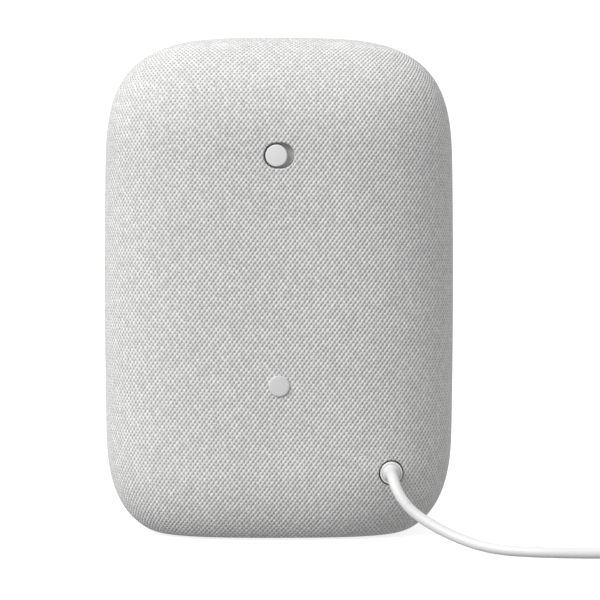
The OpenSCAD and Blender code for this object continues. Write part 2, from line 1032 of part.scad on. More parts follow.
module capacitors() {
    can_r = 3.2;
    can_h = 7.5;
    row_z = 99;
    color("darkslategray")
        for (x = [-26:13:26])
            translate([x, board_y, row_z])
                rotate([90, 0, 0])
                    cylinder(r = can_r, h = can_h, $fn = 32);
}

module inductors() {
    half = 3.5;
    core_h = 3;
    row_z = 129.5;
    color("dimgray")
        for (x = [-24, -14, 14, 24])
            block([x - half, board_y - core_h, row_z - half], [x + half, board_y, row_z + half]);
}

mic_places = [-22, 0, 22];
mic_y = -8;
mic_board_z = 164;
mic_board_t = 1;
mic_h = 1;

module mic_board() {
    half_w = 28;
    half_depth_y = 6;
    color("seagreen")
        block(
            [-half_w, mic_y - half_depth_y, mic_board_z],
            [half_w, mic_y + half_depth_y, mic_board_z + mic_board_t]
        );
}

module microphones() {
    half_w = 1.9;
    half_l = 1.5;
    low = mic_board_z + mic_board_t;
    color("silver")
        for (x = mic_places)
            block([x - half_w, mic_y - half_l, low], [x + half_w, mic_y + half_l, low + mic_h]);
}

module mic_gaskets() {
    ring_r = 2.4;
    port_r = 0.6;
    ring_h = 4;
    low = mic_board_z + mic_board_t + mic_h;
    color("black")
        for (x = mic_places)
            translate([x, mic_y, 0])
                tube_z(ring_r, port_r, low, low + ring_h);
}

// Three touch pads on the front of the baffle, over its top edge
module touch_board() {
    half_w = 9;
    pad_y = -30.4;
    pad_t = 0.8;
    low_z = 140;
    pad_h = 11;
    color("goldenrod")
        for (x = mic_places)
            block([x - half_w, pad_y, low_z], [x + half_w, pad_y + pad_t, low_z + pad_h]);
}

led_places = [-15, -5, 5, 15];
led_z = 106;
led_board_y = -30.2;
led_h = 1;

module led_board() {
    half_w = 22;
    half_h = 3.6;
    low = led_board_y;
    color("seagreen")
        block([-half_w, low, led_z - half_h], [half_w, low + 1, led_z + half_h]);
}

module leds() {
    half = 1.4;
    color("ivory")
        for (x = led_places)
            block([x - half, led_board_y - led_h, led_z - half], [x + half, led_board_y, led_z + half]);
}

module light_guides() {
    guide_r = 1.8;
    guide_h = 2;
    gap = 0.2;
    color("white")
        for (x = led_places)
            translate([x, led_board_y - led_h - gap, led_z])
                rotate([90, 0, 0])
                    cylinder(r = guide_r, h = guide_h, $fn = 32);
}

module antennas() {
    foil_t = 0.8;
    foil_x = 55.2;
    half_l = 7;
    low_z = 66;
    high_z = 108;
    color("goldenrod")
        for (x = [-foil_x - foil_t, foil_x])
            block([x, -half_l, low_z], [x + foil_t, half_l, high_z]);
}

module damping_foam() {
    foam_t = 18;
    corner_r = 6;
    low_y = 10;
    color("darkslateblue")
        to_back(14, low_y, 0)
            linear_extrude(foam_t)
                hull()
                    for (x = [-22, 22])
                        for (z = [36, 78])
                            translate([x, -z])
                                circle(corner_r, $fn = 32);
}

// ---- Power inlet ----

module inlet_board() {
    inlet_board_t = 1.6;
    low = [-inlet_x - 9, inlet_back_y - inlet_board_t, inlet_z - 9];
    color("seagreen")
        block(low, low + [23, inlet_board_t, 21]);
}

module dc_inlet() {
    bore_floor_y = barrel_tip_y - 0.6;
    pin_h = 8;
    color("black") {
        difference() {
            block(
                [-inlet_x - inlet_half, inlet_back_y, inlet_z - inlet_half],
                [-inlet_x + inlet_half, inlet_front_y, inlet_z + inlet_half]
            );
            to_back(-inlet_x, bore_floor_y, inlet_z)
                cylinder(r = inlet_bore_r, h = 20);
        }
        to_back(-inlet_x, bore_floor_y - e, inlet_z)
            cylinder(r = inlet_pin_r, h = pin_h);
    }
}

wire_r = 0.7;
wire_half_gap = 1.1;
woofer_wire = [[-20, -10, 82], [-20, -6, 88], [-20, 0, 90], [-20, 3, 93]];
inlet_wire = [
    [-inlet_x + 12, 14, 36], [-30, 12, 48], [-36, 8, 66], [-38, 0, 82], [-38, -4, 96], [-36, -2, 106],
    [-33, 3.2, 108]
];
switch_wire = [
    [12, 26.2, 138], [12, 22, 146], [12, 14, 150], [12, 5, 150], [12, -2, 147], [12, -3, 141],
    [12, 0, 139], [12, 3.2, 139]
];
tweeter_wire = [[6, -14, 126], [8, -8, 120], [10, -2, 116], [10, 3, 114]];

module inner_wires() {
    color("firebrick")
        for (w = [woofer_wire, inlet_wire, switch_wire, tweeter_wire])
            for (s = [-1, 1])
                translate([s * wire_half_gap, 0, 0])
                    sweep(smooth(w, 3), wire_r, wire_r, 6);
}

// ---- Plug, cord, coil and adapter ----

module dc_plug() {
    head_r = plug_head_d / 2;
    edge = 0.5;
    head_h = plug_face_y - head_back_y;
    barrel_h = head_back_y - barrel_tip_y;
    color("white")
        to_back(-inlet_x, barrel_tip_y, inlet_z)
            rotate_extrude($fn = 64)
                polygon(concat(
                    [[barrel_bore_r, 0], [barrel_r, 0], [barrel_r, barrel_h], [head_r, barrel_h]],
                    [
                        for (a = [0:18:90])
                            [head_r - edge + edge * cos(a), barrel_h + head_h - edge + edge * sin(a)]
                    ],
                    [[0, barrel_h + head_h], [0, barrel_h], [barrel_bore_r, barrel_h]]
                ));
}

module strain_relief() {
    path = smooth([for (i = [0:relief_points - 1]) lead_route[i]], 3);
    color("white")
        sweep(path, relief_r, cord_r, 16);
}

module cord_lead() {
    path = smooth([for (i = [relief_points - 1:len(lead_route) - 1]) lead_route[i]], 2);
    color("white")
        sweep(path, cord_r, cord_r);
}

module cord_coil() {
    low = 0.1;
    bevel = 1.2;
    r0 = coil_ring_r - coil_half_w;
    r1 = coil_ring_r + coil_half_w;
    color("white")
        translate([coil_x, coil_y, 0])
            rotate_extrude($fn = 64)
                polygon([
                    [r0, low + bevel], [r0 + bevel, low], [r1 - bevel, low], [r1, low + bevel],
                    [r1, coil_h - bevel], [r1 - bevel, coil_h], [r0 + bevel, coil_h], [r0, coil_h - bevel]
                ]);
}

module cord_tail() {
    color("white")
        sweep(smooth(tail_route, 2), cord_r, cord_r);
}

// Strap over the coil's turns, on the side towards the adapter
module cord_tie() {
    tie_t = 0.8;
    tie_w = 8;
    half = coil_half_w + 0.1;
    tie_low = 0.02;
    color("dimgray")
        translate([coil_x + 3, coil_y - coil_ring_r, tie_low])
            difference() {
                translate([-tie_w / 2, -half - tie_t, 0])
                    cube([tie_w, 2 * (half + tie_t), coil_h + tie_t]);
                translate([-tie_w / 2 - 1, -half, -1])
                    cube([tie_w + 2, 2 * half, coil_h + 1]);
            }
}

// One upright corner of the adapter's case, with rounded edges at its foot and top
module adapter_edge() {
    edge = 3;
    flat_r = adapter_corner - edge;
    rotate_extrude($fn = 32)
        polygon(concat(
            [[0, 0], [flat_r, 0]],
            [for (a = [-90:30:0]) [flat_r + edge * cos(a), edge + edge * sin(a)]],
            [for (a = [0:30:90]) [flat_r + edge * cos(a), adapter_size[2] - edge + edge * sin(a)]],
            [[0, adapter_size[2]]]
        ));
}

module wall_adapter() {
    color("white")
        hull()
            for (x = [adapter_corner, adapter_size[0] - adapter_corner])
                for (y = [adapter_corner, adapter_size[1] - adapter_corner])
                    translate(adapter_low + [x, y, 0])
                        adapter_edge();
    color("silver")
        for (s = [-1, 1])
            translate(adapter_low + [adapter_size[0] / 2 + s * blade_gap / 2, 0, adapter_size[2] / 2])
                translate([-blade_size[0] / 2, -blade_size[1], -blade_size[2] / 2])
                    cube(blade_size + [0, 1, 0]);
}

fabric_cover();
front_housing();
rear_housing();
housing_gasket();
housing_screws();
base_plate();
base_screws();
foot_pad();
emblem_badge();
switch_bezel();
mute_knob();
switch_lever();
slide_switch_body();
switch_board();
baffle();
baffle_screws();
woofer_basket();
woofer_gasket();
woofer_surround();
woofer_cone();
woofer_dust_cap();
woofer_voice_coil();
woofer_spider();
woofer_top_plate();
woofer_magnet();
woofer_yoke();
woofer_screws();
tweeter_frame();
tweeter_dome();
tweeter_surround();
tweeter_voice_coil();
tweeter_magnet();
tweeter_screws();
main_board();
board_standoffs();
board_screws();
shield_cans();
thermal_pad();
heat_sink();
capacitors();
inductors();
mic_board();
microphones();
mic_gaskets();
touch_board();
led_board();
leds();
light_guides();
antennas();
damping_foam();
inlet_board();
dc_inlet();
inner_wires();
dc_plug();
strain_relief();
cord_lead();
cord_coil();
cord_tail();
cord_tie();
wall_adapter();
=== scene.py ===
"""Looks of a fabric-covered smart speaker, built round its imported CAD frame.

Everything is in metres and +Z is up. The front is at -Y, and the camera looks at the back, at +Y.
"""

import json
import math

import bpy
import numpy as np
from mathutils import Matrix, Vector


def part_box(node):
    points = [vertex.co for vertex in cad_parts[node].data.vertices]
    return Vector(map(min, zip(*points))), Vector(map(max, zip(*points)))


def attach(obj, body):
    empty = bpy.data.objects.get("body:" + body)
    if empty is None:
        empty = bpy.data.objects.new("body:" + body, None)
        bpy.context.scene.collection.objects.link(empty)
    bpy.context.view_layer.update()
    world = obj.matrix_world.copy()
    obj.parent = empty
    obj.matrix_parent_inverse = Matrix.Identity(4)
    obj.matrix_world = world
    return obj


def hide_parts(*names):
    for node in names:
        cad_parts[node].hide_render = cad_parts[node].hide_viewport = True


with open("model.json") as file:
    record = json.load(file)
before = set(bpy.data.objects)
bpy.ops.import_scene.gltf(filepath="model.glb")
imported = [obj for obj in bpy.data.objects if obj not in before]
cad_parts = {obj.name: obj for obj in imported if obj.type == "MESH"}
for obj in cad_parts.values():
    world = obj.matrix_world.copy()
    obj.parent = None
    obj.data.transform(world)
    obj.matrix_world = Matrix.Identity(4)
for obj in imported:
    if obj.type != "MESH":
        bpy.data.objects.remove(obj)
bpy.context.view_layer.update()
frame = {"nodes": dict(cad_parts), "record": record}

MM = 0.001

# ---- Body shape, as part.scad has it ----

BODY_W, BODY_D, BODY_H = 124 * MM, 78 * MM, 175 * MM
SECTION_POWER = 2.9
SIDE_BULGE = 1.4 * MM
TOP_ACROSS, TOP_DROP, TOP_POWER = 55.4 * MM, 49.3 * MM, 3.35
LOW_ACROSS, LOW_RISE, LOW_POWER = 28.4 * MM, 38.5 * MM, 2.64
TOP_THROUGH, TOP_DROP_Y, TOP_POWER_Y = 35 * MM, 42 * MM, 2.3
LOW_THROUGH, LOW_RISE_Y, LOW_POWER_Y = 12 * MM, 26 * MM, 2.2
LOW_CUT = 0.966
HEM_Z, HEM_REACH, FABRIC_T = 0.6 * MM, 7 * MM, 0.9 * MM

# ---- Power lead, with its routes in millimetres ----

CORD_D = 3.5 * MM
LEAD_ROUTE = [
    (-38.3, 36, 23.4),
    (-38.3, 40.4, 23.2),
    (-38.5, 44.2, 22.2),
    (-39.2, 47.2, 19.8),
    (-40.8, 49.2, 16.8),
    (-43, 50.8, 13.9),
    (-46.2, 52.5, 11.1),
    (-50.2, 54.7, 8.6),
    (-55, 57.6, 6.2),
    (-60.5, 61, 4.1),
    (-66, 64.4, 2.7),
    (-72, 67.8, 1.95),
    (-79, 71, 1.75),
    (-87, 73.4, 1.75),
    (-96, 74.8, 1.75),
    (-106, 75.4, 1.75),
    (-117, 75.6, 1.75),
    (-128, 75.6, 1.75),
]
RELIEF_POINTS = 5  # the boot covers the route up to here
TAIL_ROUTE = [
    (-149.5, 37.8, 12.6),
    (-148, 33, 12.9),
    (-147.3, 28, 13.2),
    (-147, 23, 13.4),
    (-147, 17.5, 13.5),
]
COIL_MEAN_R = 20.8 * MM
COIL_LANES, COIL_LAYERS = 4, 3
COIL_PITCH, COIL_RISE, COIL_LOW = 3.65 * MM, 3.55 * MM, 1.85 * MM
COIL_TURNS = 10.33
POINTS_PER_TURN = 16


def metres(points):
    return [tuple(c * MM for c in p) for p in points]


def smoothstep(value, start, width):
    t = np.clip((value - start) / width, 0, 1)
    return t * t * (3 - 2 * t)


def coil_slots():
    """Radius and height of each turn's lane: inwards in the lowest layer, back outwards in the next."""
    radii = [COIL_MEAN_R + COIL_PITCH * ((COIL_LANES - 1) / 2 - i) for i in range(COIL_LANES)]
    slots = []
    for layer in range(COIL_LAYERS):
        lanes = radii if layer % 2 == 0 else radii[::-1]
        slots += [(r, COIL_LOW + COIL_RISE * layer) for r in lanes]
    return slots


def coil_points(centre):
    """Turns a diameter apart. In each turn the later lanes move over first, so no two turns meet."""
    slots = coil_slots()
    move, first_move = 0.16, 0.1
    points = []
    for i in range(round(COIL_TURNS * POINTS_PER_TURN) + 1):
        turns = i / POINTS_PER_TURN
        lane = int(turns)
        part = turns - lane
        (r0, z0), (r1, z1) = slots[lane], slots[lane + 1]
        order = 2 * (COIL_LAYERS - 1 - lane // COIL_LANES) - (1 if z1 > z0 else 0)
        share = smoothstep(part, first_move + move * order, move)
        r = r0 + (r1 - r0) * share
        z = z0 + (z1 - z0) * share
        if lane == int(COIL_TURNS):
            z += COIL_RISE * smoothstep(part, 0.17, move)
        angle = math.radians(90) + 2 * math.pi * turns
        points.append((centre[0] + r * math.cos(angle), centre[1] + r * math.sin(angle), z))
    return points


def catmull_rom(points, steps):
    """Smooth line through the points, as an array."""
    p = np.array(points, float)
    before = np.vstack([2 * p[0] - p[1], p, 2 * p[-1] - p[-2]])
    line = []
    for i in range(len(p) - 1):
        a, b, c, d = before[i : i + 4]
        for t in np.arange(steps) / steps:
            square, cube = 2 * a - 5 * b + 4 * c - d, 3 * b - a - 3 * c + d
            line.append(0.5 * (2 * b + (c - a) * t + square * t**2 + cube * t**3))
    line.append(p[-1])
    return np.array(line)


# ---- Camera, nearly straight at the back ----

CAMERA_AT, CAMERA_AIM = (0, 0.70, 0.0947), (-0.0075, 0, 0.0819)
LENS, SENSOR = 117.04, 36


def make_camera():
    camera = bpy.data.objects.new("camera", bpy.data.cameras.new("camera"))
    bpy.context.scene.collection.objects.link(camera)
    bpy.context.scene.camera = camera
    camera.data.lens = LENS
    camera.data.sensor_width = SENSOR
    camera.data.clip_start, camera.data.clip_end = 0.01, 50
    camera.location = CAMERA_AT
    camera.rotation_euler = (Vector(CAMERA_AIM) - camera.location).to_track_quat("-Z", "Y").to_euler()


# ---- Nodes of a procedural material ----


class Nodes:
    """Short calls for a material's node tree. A plain number or colour sets a socket; a socket links."""

    def __init__(self, name):
        self.material = bpy.data.materials.new(name)
        self.material.use_nodes = True
        self.tree = self.material.node_tree
        self.shader = self.tree.nodes["Principled BSDF"]

    def put(self, node, name, value):
        socket = node.inputs[name]
        if isinstance(value, bpy.types.NodeSocket):
            self.tree.links.new(value, socket)
        else:
            socket.default_value = value

    def node(self, kind, settings=(), **inputs):
        made = self.tree.nodes.new(kind)
        for name, value in dict(settings).items():
            setattr(made, name, value)
        for name, value in inputs.items():
            self.put(made, name.replace("_", " "), value)
        return made

    def math(self, operation, a, b=0.0, c=0.0):
        made = self.tree.nodes.new("ShaderNodeMath")
        made.operation = operation
        for i, value in enumerate((a, b, c)):
            self.put(made, i, value)
        return made.outputs[0]

    def noise(self, vector, scale, detail=2.0, roughness=0.5):
        made = self.node("ShaderNodeTexNoise", Scale=scale, Detail=detail, Roughness=roughness)
        self.put(made, "Vector", vector)
        return made.outputs["Fac"]

    def scaled(self, vector, by):
        made = self.node("ShaderNodeVectorMath", {"operation": "MULTIPLY"})
        self.put(made, 0, vector)
        self.put(made, 1, by)
        return made.outputs[0]

    def ramp(self, value, low, high, out_low, out_high):
        made = self.node(
            "ShaderNodeMapRange",
            {"clamp": True},
            Value=value,
            From_Min=low,
            From_Max=high,
            To_Min=out_low,
            To_Max=out_high,
        )
        return made.outputs[0]

    def mix_colour(self, factor, a, b):
        made = self.node("ShaderNodeMix", {"data_type": "RGBA"})
        self.put(made, 0, factor)
        self.put(made, 6, a)
        self.put(made, 7, b)
        return made.outputs[2]

    def bump(self, height, distance):
        return self.node("ShaderNodeBump", Height=height, Distance=distance, Strength=1.0).outputs[0]

    def position(self):
        return self.node("ShaderNodeTexCoord").outputs["Object"]

    def surface(self, **inputs):
        for name, value in inputs.items():
            self.put(self.shader, name.replace("_", " "), value)
        return self.material


def grey(level, warm=0.0):
    return (level * (1 + warm), level, level * (1 - warm), 1.0)


def shade(colour, factor):
    return (colour[0] * factor, colour[1] * factor, colour[2] * factor, 1.0)


# ---- Materials ----

WEAVE_W, WEAVE_H = 1.58, 2.08  # millimetres, before they are made to fit the cloth a whole number of times
FABRIC_BUMP = 0.14 * MM
YARN = (0.69, 0.69, 0.685)


def knit_fabric(cell_w, cell_h, lap):
    """Knitted yarn: two families of diagonal ribs, with a small hole where both are low.

    The weave and weave_top attributes hold millimetres across and up the cloth, and the share of the
    top chart. The cloth is lap millimetres round, and either family stands out more on one side of it.
    """
    n = Nodes("knit_fabric")

    def lattice(attribute):
        chart = n.node("ShaderNodeAttribute", {"attribute_name": attribute}).outputs["Vector"]
        wobble = n.node("ShaderNodeTexNoise", {"noise_dimensions": "3D"}, Scale=0.35, Detail=2.0)
        n.put(wobble, "Vector", chart)
        shift = n.math("MULTIPLY", n.math("SUBTRACT", wobble.outputs["Fac"], 0.5), 0.5)
        parts = n.node("ShaderNodeSeparateXYZ", Vector=chart)
        across = n.math("ADD", n.math("DIVIDE", parts.outputs[0], cell_w), shift)
        up = n.math("ADD", n.math("DIVIDE", parts.outputs[1], cell_h), shift)
        phase_1 = n.math("SUBTRACT", across, up)
        phase_2 = n.math("ADD", across, up)
        rib_1 = n.math("COSINE", n.math("MULTIPLY", phase_1, 2 * math.pi))
        rib_2 = n.math("COSINE", n.math("MULTIPLY", phase_2, 2 * math.pi))
        # One random shade to each stitch
        stitch = n.node("ShaderNodeCombineXYZ")
        n.put(stitch, 0, n.math("ROUND", phase_1))
        n.put(stitch, 1, n.math("ROUND", phase_2))
        tone = n.node("ShaderNodeTexWhiteNoise", {"noise_dimensions": "2D"}, Vector=stitch.outputs[0])
        turn = n.math("SINE", n.math("MULTIPLY", parts.outputs[0], 2 * math.pi / lap))
        share_1 = n.math("MULTIPLY_ADD", turn, 0.07, 0.52)
        height = n.math("MULTIPLY_ADD", n.math("SUBTRACT", rib_1, rib_2), share_1, rib_2)
        return height, tone.outputs["Value"], chart, parts.outputs[2]

    height_side, tone_side, chart, share = lattice("weave")
    height_top, tone_top, _, _ = lattice("weave_top")

    def both(side, top):
        made = n.node("ShaderNodeMix", {"data_type": "FLOAT"})
        n.put(made, 0, share)
        n.put(made, 2, side)
        n.put(made, 3, top)
        return made.outputs[0]

    height = both(height_side, height_top)
    tone = both(tone_side, tone_top)
    position = n.position()
    fibre = n.noise(position, 2600, 3.0, 0.6)
    cloud = n.noise(position, 55, 3.0, 0.5)
    hole = n.ramp(height, -0.95, 0.1, 0.0, 1.0)
    light = n.math("MULTIPLY_ADD", tone, 0.16, 0.86)
    light = n.math("MULTIPLY", light, n.ramp(fibre, 0.3, 0.7, 0.9, 1.06))
    light = n.math("MULTIPLY", light, n.ramp(cloud, 0.3, 0.7, 0.985, 1.015))
    # Painted shade: the yarn's colour is darkened in the holes between the ribs, where shade falls
    light = n.math("MULTIPLY", light, n.math("MULTIPLY_ADD", hole, 0.52, 0.51))
    colour = n.scaled(light, YARN)
    relief = n.math("MULTIPLY_ADD", n.math("SUBTRACT", fibre, 0.5), 0.35, height)
    return n.surface(
        Base_Color=colour,
        Roughness=n.ramp(hole, 0.0, 1.0, 1.0, 0.86),
        Specular_IOR_Level=0.25,
        Sheen_Weight=0.12,
        Sheen_Roughness=0.6,
        Normal=n.bump(relief, FABRIC_BUMP),
    )


def moulded(name, colour, roughness=0.45, grain=900, depth=0.00001, variation=0.05, **more):
    """Moulded plastic or rubber with a fine even grain and faint uneven gloss."""
    n = Nodes(name)
    position = n.position()
    fine = n.noise(position, grain, 3.0, 0.6)
    broad = n.noise(position, 60, 2.0)
    factor = n.ramp(broad, 0.3, 0.7, 0.0, 1.0)
    return n.surface(
        Base_Color=n.mix_colour(factor, shade(colour, 1 - variation), shade(colour, 1 + variation)),
        Roughness=n.ramp(fine, 0.3, 0.7, roughness - 0.06, roughness + 0.06),
        Normal=n.bump(fine, depth),
        **more,
    )


def metal(name, colour, roughness=0.32, stretch=(1, 1, 30)):
    """Metal with fine lines drawn out along one axis."""
    n = Nodes(name)
    lines = n.noise(n.scaled(n.position(), stretch), 400, 3.0, 0.6)
    line = n.ramp(lines, 0.3, 0.7, 0.0, 1.0)
    return n.surface(
        Base_Color=n.mix_colour(line, shade(colour, 0.86), shade(colour, 1.06)),
        Metallic=1.0,
        Roughness=n.ramp(lines, 0.3, 0.7, roughness - 0.08, roughness + 0.1),
        Normal=n.bump(lines, 0.000006),
    )


def fibrous(name, colour, scale=1500):
    """Pressed pulp or open foam: coarse, uneven and matt."""
    n = Nodes(name)
    clumps = n.noise(n.position(), scale, 5.0, 0.7)
    clump = n.ramp(clumps, 0.35, 0.65, 0.0, 1.0)
    return n.surface(
        Base_Color=n.mix_colour(clump, shade(colour, 0.6), shade(colour, 1.3)),
        Roughness=0.95,
        Normal=n.bump(clumps, 0.0001),
    )


def board(name):
    """Solder mask with traces under it and pads that show through."""
    n = Nodes(name)
    position = n.position()
    cells = {"distance": "MANHATTAN", "feature": "DISTANCE_TO_EDGE"}
    traces = n.node("ShaderNodeTexVoronoi", cells, Scale=320.0)
    n.put(traces, "Vector", position)
    line = n.ramp(traces.outputs[0], 0.02, 0.08, 1.0, 0.0)
    mask = n.mix_colour(n.noise(position, 90), (0.006, 0.05, 0.024, 1), (0.012, 0.09, 0.04, 1))
    return n.surface(
        Base_Color=n.mix_colour(line, mask, (0.03, 0.17, 0.07, 1)),
        Roughness=n.ramp(line, 0.0, 1.0, 0.28, 0.4),
        Normal=n.bump(line, 0.00002),
    )


def make_materials(cell_w, cell_h, lap):
    white = grey(0.63, 0.004)
    return {
        "knit_fabric": knit_fabric(cell_w, cell_h, lap),
        "housing_plastic": moulded("housing_plastic", grey(0.62), 0.5),
        "grey_plastic": moulded("grey_plastic", grey(0.50), 0.42),
        "black_plastic": moulded("black_plastic", grey(0.012), 0.4),
        "knob_plastic": moulded("knob_plastic", grey(0.70), 0.42, depth=0.000006),
        "badge_plastic": moulded("badge_plastic", grey(0.60), 0.32, depth=0.000004),
        "clear_plastic": moulded("clear_plastic", grey(0.75), 0.35, Transmission_Weight=0.6),
        "white_plastic": moulded("white_plastic", white, 0.36, depth=0.000004, variation=0.02),
        "soft_rubber": moulded("soft_rubber", grey(0.21), 0.78, grain=1400, depth=0.00003),
        "black_rubber": moulded("black_rubber", grey(0.016), 0.7, grain=1200, depth=0.00002),
        "cord_jacket": moulded("cord_jacket", white, 0.42, grain=1500, depth=0.000008, variation=0.02),
        "paper_pulp": fibrous("paper_pulp", grey(0.02)),
        "foam": fibrous("foam", grey(0.03), 700),
        "steel": metal("steel", grey(0.55, 0.01)),
        "alloy": metal("alloy", grey(0.72), 0.28, (30, 1, 1)),
        "ferrite": moulded("ferrite", grey(0.03), 0.6, grain=2200, depth=0.00004, variation=0.2),
        "copper": metal("copper", (0.62, 0.2, 0.07, 1), 0.3, (1, 120, 1)),
        "circuit_board": board("circuit_board"),
        "gold_trace": metal("gold_trace", (0.7, 0.47, 0.16, 1), 0.3, (1, 30, 1)),
    }


# ---- Building pieces ----


def finish_piece(piece, body, slot, *replaced):
    """Gives a piece its material and slot, sets it on its body, and hides what it stands for."""
    piece.data.materials.clear()
    piece.data.materials.append(materials[slot])
    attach(piece, body)
    if replaced:
        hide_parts(*replaced)
    return piece


def mesh_object(name, points, faces, smooth=True):
    mesh = bpy.data.meshes.new(name)
    mesh.from_pydata([tuple(p) for p in points], [], faces)
    mesh.polygons.foreach_set("use_smooth", [smooth] * len(mesh.polygons))
    mesh.update()
    made = bpy.data.objects.new(name, mesh)
    bpy.context.scene.collection.objects.link(made)
    return made


def ring_faces(rows, columns):
    """Quads between rows of points that each close into a ring. A quad's first point has its own number."""
    faces = []
    for j in range(rows - 1):
        for i in range(columns):
            k = (i + 1) % columns
            faces.append((j * columns + i, j * columns + k, (j + 1) * columns + k, (j + 1) * columns + i))
    return faces


def arc(centre, radius, start, end, steps):
    """Points of an arc, in degrees, as (r, h) pairs."""
    angles = np.radians(np.linspace(start, end, steps + 1))
    return [(centre[0] + radius * math.cos(a), centre[1] + radius * math.sin(a)) for a in angles]


def lathe(name, profile, origin):
    """Turns a profile of (radius, height) about +Y at origin. A radius of 0 closes the end."""
    origin, sides = Vector(origin), 96
    angles = [2 * math.pi * i / sides for i in range(sides)]
    points, rows = [], []
    for r, h in profile:
        if r == 0:
            rows.append([len(points)] * sides)
            points.append(origin + Vector((0, h, 0)))
        else:
            rows.append(list(range(len(points), len(points) + sides)))
            points += [origin + Vector((r * math.cos(a), h, -r * math.sin(a))) for a in angles]
    faces = []
    for low, high in zip(rows, rows[1:]):
        for i in range(sides):
            k = (i + 1) % sides
            ring = [low[i], low[k], high[k], high[i]]
            faces.append(tuple(dict.fromkeys(ring)))
    return mesh_object(name, points, faces)


def tube(name, path, radii, sides=32):
    """Round tube along a path, with a radius at each point and flat ends."""
    path = np.array(path, float)
    tangents = np.gradient(path, axis=0)
    tangents /= np.linalg.norm(tangents, axis=1)[:, None]
    side = np.cross(tangents[0], (1.0, 0.0, 0.0))
    angles = np.linspace(0, 2 * math.pi, sides, endpoint=False)
    points = []
    for centre, tangent, radius in zip(path, tangents, radii):
        side = side - tangent * (side @ tangent)
        side /= np.linalg.norm(side)
        other = np.cross(tangent, side)
        points += [centre + radius * (math.cos(a) * side + math.sin(a) * other) for a in angles]
    faces = ring_faces(len(path), sides)
    faces.append(tuple(range(sides))[::-1])
    faces.append(tuple(range((len(path) - 1) * sides, len(path) * sides)))
    return mesh_object(name, points, faces)


# ---- Cover: a sleeve of knitted cloth drawn over the housings ----

RING_STEP, COLUMN_STEP = 1.25 * MM, 1.45 * MM
SECTION_STEPS = 200
TOP_SHARES = (0.8, 0.55, 0.3, 0.1, 0.001)
LIP_R, LIP_DEPTH = 0.5 * MM, 2.0 * MM
HOLE_MARGIN = 2.0 * MM
BEZEL_RIM = 1.5 * MM
PLUG_GAP = 0.4 * MM
TOP_FROM, TOP_BLEND = 0.82, 0.12  # where the top's weave takes over, by how far the cloth faces up


def corner(t, power):
    """Share of a superellipse corner that is used up at t."""
    return 1 - (1 - np.clip(t, 0, 1) ** power) ** (1 / power)


def half_width(z):
    bulge = SIDE_BULGE * ((z - BODY_H / 2) / (BODY_H / 2)) ** 2
    top = TOP_ACROSS * corner((z - BODY_H + TOP_DROP) / TOP_DROP, TOP_POWER)
    low = LOW_ACROSS * corner((LOW_RISE * LOW_CUT - z) / LOW_RISE, LOW_POWER)
    return BODY_W / 2 - bulge - top - low


def half_depth(z):
    top = TOP_THROUGH * corner((z - BODY_H + TOP_DROP_Y) / TOP_DROP_Y, TOP_POWER_Y)
    low = LOW_THROUGH * corner((LOW_RISE_Y * LOW_CUT - z) / LOW_RISE_Y, LOW_POWER_Y)
    return BODY_D / 2 - top - low


def back_y(x, z):
    """The back face's y at x and z."""
    inside = np.clip(1 - (np.abs(x) / half_width(z)) ** SECTION_POWER, 0, 1)
    return half_depth(z) * inside ** (1 / SECTION_POWER)


def wall_heights():
    """Ring heights from the hem's bend to the top, in even steps of whichever outline runs further."""
    share = np.linspace(0, 1, 6000)
    start = HEM_Z + 1.6 * MM
    z = start + (BODY_H - start) * (1 - (1 - share) ** 3)
    sideways = np.maximum(np.abs(np.diff(half_width(z))), np.abs(np.diff(half_depth(z))))
    travel = np.concatenate([[0], np.cumsum(np.hypot(np.diff(z), sideways))])
    count = round(travel[-1] / RING_STEP)
    return np.interp(np.linspace(0, travel[-1], count + 1), travel, z)


def quarter_section(w, d, count):
    """Points of a quarter of the section, from the side (x = w) to the middle of the back (y = d)."""
    s = np.linspace(0, 1, 400)
    angle = math.pi / 2 * (3 * s**2 - 2 * s**3)
    x = w * np.cos(angle) ** (2 / SECTION_POWER)
    y = d * np.sin(angle) ** (2 / SECTION_POWER)
    x[-1] = 0.0
    travel = np.concatenate([[0], np.cumsum(np.hypot(np.diff(x), np.diff(y)))])
    at = np.linspace(0, travel[-1], count + 1)
    return np.interp(at, travel, x), np.interp(at, travel, y), travel[-1]


